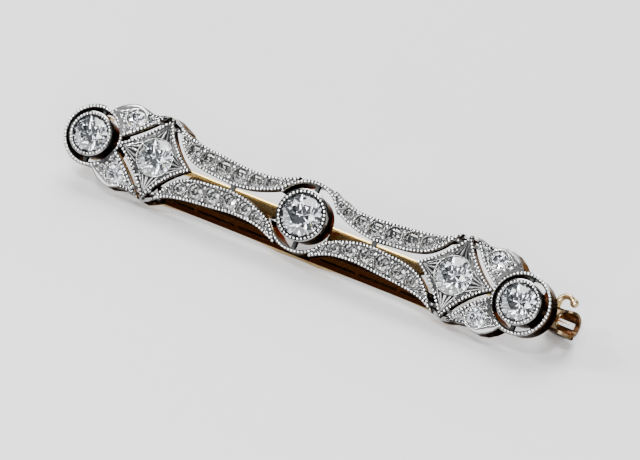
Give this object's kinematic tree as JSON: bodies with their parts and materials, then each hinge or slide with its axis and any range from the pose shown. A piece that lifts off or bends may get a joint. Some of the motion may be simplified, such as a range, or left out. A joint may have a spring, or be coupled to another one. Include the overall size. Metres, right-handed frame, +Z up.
{
  "type": "diamond bar brooch",
  "caption": "Openwork bar brooch with collet-set round diamonds, four-pointed stars, pavé arms, a pierced gallery, a hinged pin stem and a roll-over catch.",
  "frame": {"origin": "middle of the brooch's footprint, on the surface that it lies on", "axes": "+X along the brooch from the hinge end to the catch end, +Z up; the face looks up and towards -Y"},
  "size_m": [0.0604, 0.0109, 0.0095],
  "materials": {
    "platinum": "polished platinum front on gold",
    "gold": "polished yellow gold",
    "diamond": "clear cut stone",
    "old_cut_diamond": "clear, slightly grey cut stone"
  },
  "bodies": {
    "brooch": {"frame": "platinum", "hinge_rivet": "gold", "stone_centre": "diamond", "stone_end_left": "diamond", "stone_end_right": "diamond", "stone_star_left": "diamond", "stone_star_right": "diamond", "stone_leaf_upper_right": "diamond", "stone_leaf_lower_right": "diamond", "stone_leaf_upper_left": "diamond", "stone_leaf_lower_left": "diamond", "stone_arm_upper_right_1": "old_cut_diamond", "stone_arm_upper_right_2": "old_cut_diamond", "stone_arm_upper_right_3": "old_cut_diamond", "stone_arm_upper_right_4": "old_cut_diamond", "stone_arm_upper_right_5": "old_cut_diamond", "stone_arm_upper_right_6": "old_cut_diamond", "stone_arm_lower_right_1": "old_cut_diamond", "stone_arm_lower_right_2": "old_cut_diamond", "stone_arm_lower_right_3": "old_cut_diamond", "stone_arm_lower_right_4": "old_cut_diamond", "stone_arm_lower_right_5": "old_cut_diamond", "stone_arm_lower_right_6": "old_cut_diamond", "stone_arm_upper_left_1": "old_cut_diamond", "stone_arm_upper_left_2": "old_cut_diamond", "stone_arm_upper_left_3": "old_cut_diamond", "stone_arm_upper_left_4": "old_cut_diamond", "stone_arm_upper_left_5": "old_cut_diamond", "stone_arm_upper_left_6": "old_cut_diamond", "stone_arm_lower_left_1": "old_cut_diamond", "stone_arm_lower_left_2": "old_cut_diamond", "stone_arm_lower_left_3": "old_cut_diamond", "stone_arm_lower_left_4": "old_cut_diamond", "stone_arm_lower_left_5": "old_cut_diamond", "stone_arm_lower_left_6": "old_cut_diamond"},
    "pin": {"pin_stem": "gold"},
    "lever": {"catch_lever": "gold"}
  },
  "joints": [
    {"name": "pin_hinge", "type": "hinge", "parent": "brooch", "child": "pin", "pos_m": [-0.02817, 0.0011, 0.0032], "axis": [0, 0.5736, 0.8192], "range_deg": [0, 90]},
    {"name": "catch_turn", "type": "hinge", "parent": "brooch", "child": "lever", "pos_m": [0.02693, 0.00354, 0.00149], "axis": [-1, 0, 0], "range_deg": [0, 100]}
  ]
}
